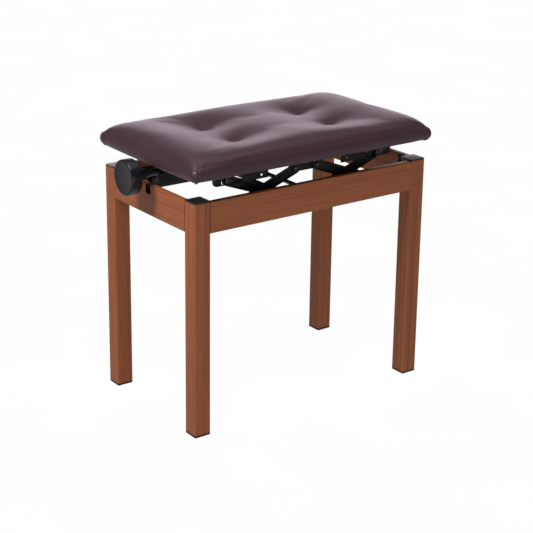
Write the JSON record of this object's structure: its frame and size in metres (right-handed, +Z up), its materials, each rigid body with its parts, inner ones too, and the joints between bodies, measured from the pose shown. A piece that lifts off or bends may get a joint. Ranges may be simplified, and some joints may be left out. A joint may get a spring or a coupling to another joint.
{
  "type": "piano bench",
  "caption": "Adjustable piano bench: tufted cushion on a scissor lift driven by a side knob and spindle, in a tube frame with wood-grain wrap.",
  "frame": {"origin": "on the floor, under the middle of the whole bench box including the knob; the frame and seat are centred 21 mm further along +X", "axes": "+Z up, +X along the bench with the knob at the -X end, +Y from front to back"},
  "size_m": [0.594, 0.332, 0.528],
  "materials": {
    "wood_wrap": "satin",
    "plastic": "satin",
    "black_steel": "satin",
    "pin_steel": "satin",
    "leatherette": "satin",
    "plywood": "matte",
    "black_cloth": "matte"
  },
  "bodies": {
    "frame": {"leg_front_left": "wood_wrap", "leg_front_right": "wood_wrap", "leg_back_left": "wood_wrap", "leg_back_right": "wood_wrap", "leg_cap_front_left": "plastic", "leg_cap_front_right": "plastic", "leg_cap_back_left": "plastic", "leg_cap_back_right": "plastic", "foot_cap_front_left": "plastic", "foot_cap_front_right": "plastic", "foot_cap_back_left": "plastic", "foot_cap_back_right": "plastic", "rail_front": "wood_wrap", "rail_back": "wood_wrap", "rail_left": "wood_wrap", "rail_right": "wood_wrap", "corner_plate_front_left": "black_steel", "corner_plate_front_right": "black_steel", "corner_plate_back_left": "black_steel", "corner_plate_back_right": "black_steel", "base_channel_front": "black_steel", "base_channel_back": "black_steel"},
    "seat": {"seat_board": "plywood", "under_cloth": "black_cloth", "cushion": "leatherette", "seat_bracket_front_left": "black_steel", "seat_bracket_front_right": "black_steel", "seat_bracket_back_left": "black_steel", "seat_bracket_back_right": "black_steel", "middle_bracket_front": "black_steel", "middle_bracket_back": "black_steel", "spindle_carrier": "black_steel", "end_bearing": "black_steel", "seat_pin_front_left": "pin_steel", "seat_pin_front_right": "pin_steel", "seat_pin_back_left": "pin_steel", "seat_pin_back_right": "pin_steel"},
    "outer_arms_left": {"outer_arm_front_left": "black_steel", "outer_arm_back_left": "black_steel", "pivot_rod_left": "pin_steel"},
    "inner_arms_left": {"inner_arm_front_left": "black_steel", "inner_arm_back_left": "black_steel", "centre_pin_front_left": "pin_steel", "centre_pin_back_left": "pin_steel", "guide_pin_front_left": "pin_steel", "guide_pin_back_left": "pin_steel"},
    "crosshead_left": {"crosshead_left": "pin_steel"},
    "outer_arms_right": {"outer_arm_front_right": "black_steel", "outer_arm_back_right": "black_steel", "pivot_rod_right": "pin_steel"},
    "inner_arms_right": {"inner_arm_front_right": "black_steel", "inner_arm_back_right": "black_steel", "centre_pin_front_right": "pin_steel", "centre_pin_back_right": "pin_steel", "guide_pin_front_right": "pin_steel", "guide_pin_back_right": "pin_steel"},
    "crosshead_right": {"crosshead_right": "pin_steel"},
    "drive": {"spindle": "pin_steel", "thrust_collar": "pin_steel", "knob": "plastic"}
  },
  "joints": [
    {"name": "seat_lift", "type": "slide", "parent": "frame", "child": "seat", "axis": [0, 0, 1], "range_m": [-0.03, 0.046]},
    {"name": "outer_arms_left_swing", "type": "hinge", "parent": "frame", "child": "outer_arms_left", "pos_m": [-0.004, 0, 0.4083], "axis": [0, 1, 0], "range_deg": [-11.96, 18.33]},
    {"name": "inner_arms_left_swing", "type": "hinge", "parent": "seat", "child": "inner_arms_left", "pos_m": [-0.004, 0, 0.46398], "axis": [0, 1, 0], "range_deg": [-18.33, 11.96]},
    {"name": "crosshead_left_level", "type": "hinge", "parent": "outer_arms_left", "child": "crosshead_left", "pos_m": [-0.15293, 0, 0.46398], "axis": [0, 1, 0], "range_deg": [-18.33, 11.96]},
    {"name": "outer_arms_right_swing", "type": "hinge", "parent": "frame", "child": "outer_arms_right", "pos_m": [0.046, 0, 0.4083], "axis": [0, 1, 0], "range_deg": [-18.33, 11.96]},
    {"name": "inner_arms_right_swing", "type": "hinge", "parent": "seat", "child": "inner_arms_right", "pos_m": [0.046, 0, 0.46398], "axis": [0, 1, 0], "range_deg": [-11.96, 18.33]},
    {"name": "crosshead_right_level", "type": "hinge", "parent": "outer_arms_right", "child": "crosshead_right", "pos_m": [0.19493, 0, 0.46398], "axis": [0, 1, 0], "range_deg": [-11.96, 18.33]},
    {"name": "knob_turn", "type": "hinge", "parent": "seat", "child": "drive", "pos_m": [-0.199, 0, 0.46398], "axis": [1, 0, 0], "range_deg": [-1650.13, 2530.2]}
  ],
  "couplings": [
    {"joint": "outer_arms_left_swing", "follows": "seat_lift", "rad_per_m": 6.948},
    {"joint": "inner_arms_left_swing", "follows": "seat_lift", "rad_per_m": -6.948},
    {"joint": "crosshead_left_level", "follows": "seat_lift", "rad_per_m": -6.948},
    {"joint": "outer_arms_right_swing", "follows": "seat_lift", "rad_per_m": -6.948},
    {"joint": "inner_arms_right_swing", "follows": "seat_lift", "rad_per_m": 6.948},
    {"joint": "crosshead_right_level", "follows": "seat_lift", "rad_per_m": 6.948},
    {"joint": "knob_turn", "follows": "seat_lift", "rad_per_m": 960}
  ]
}
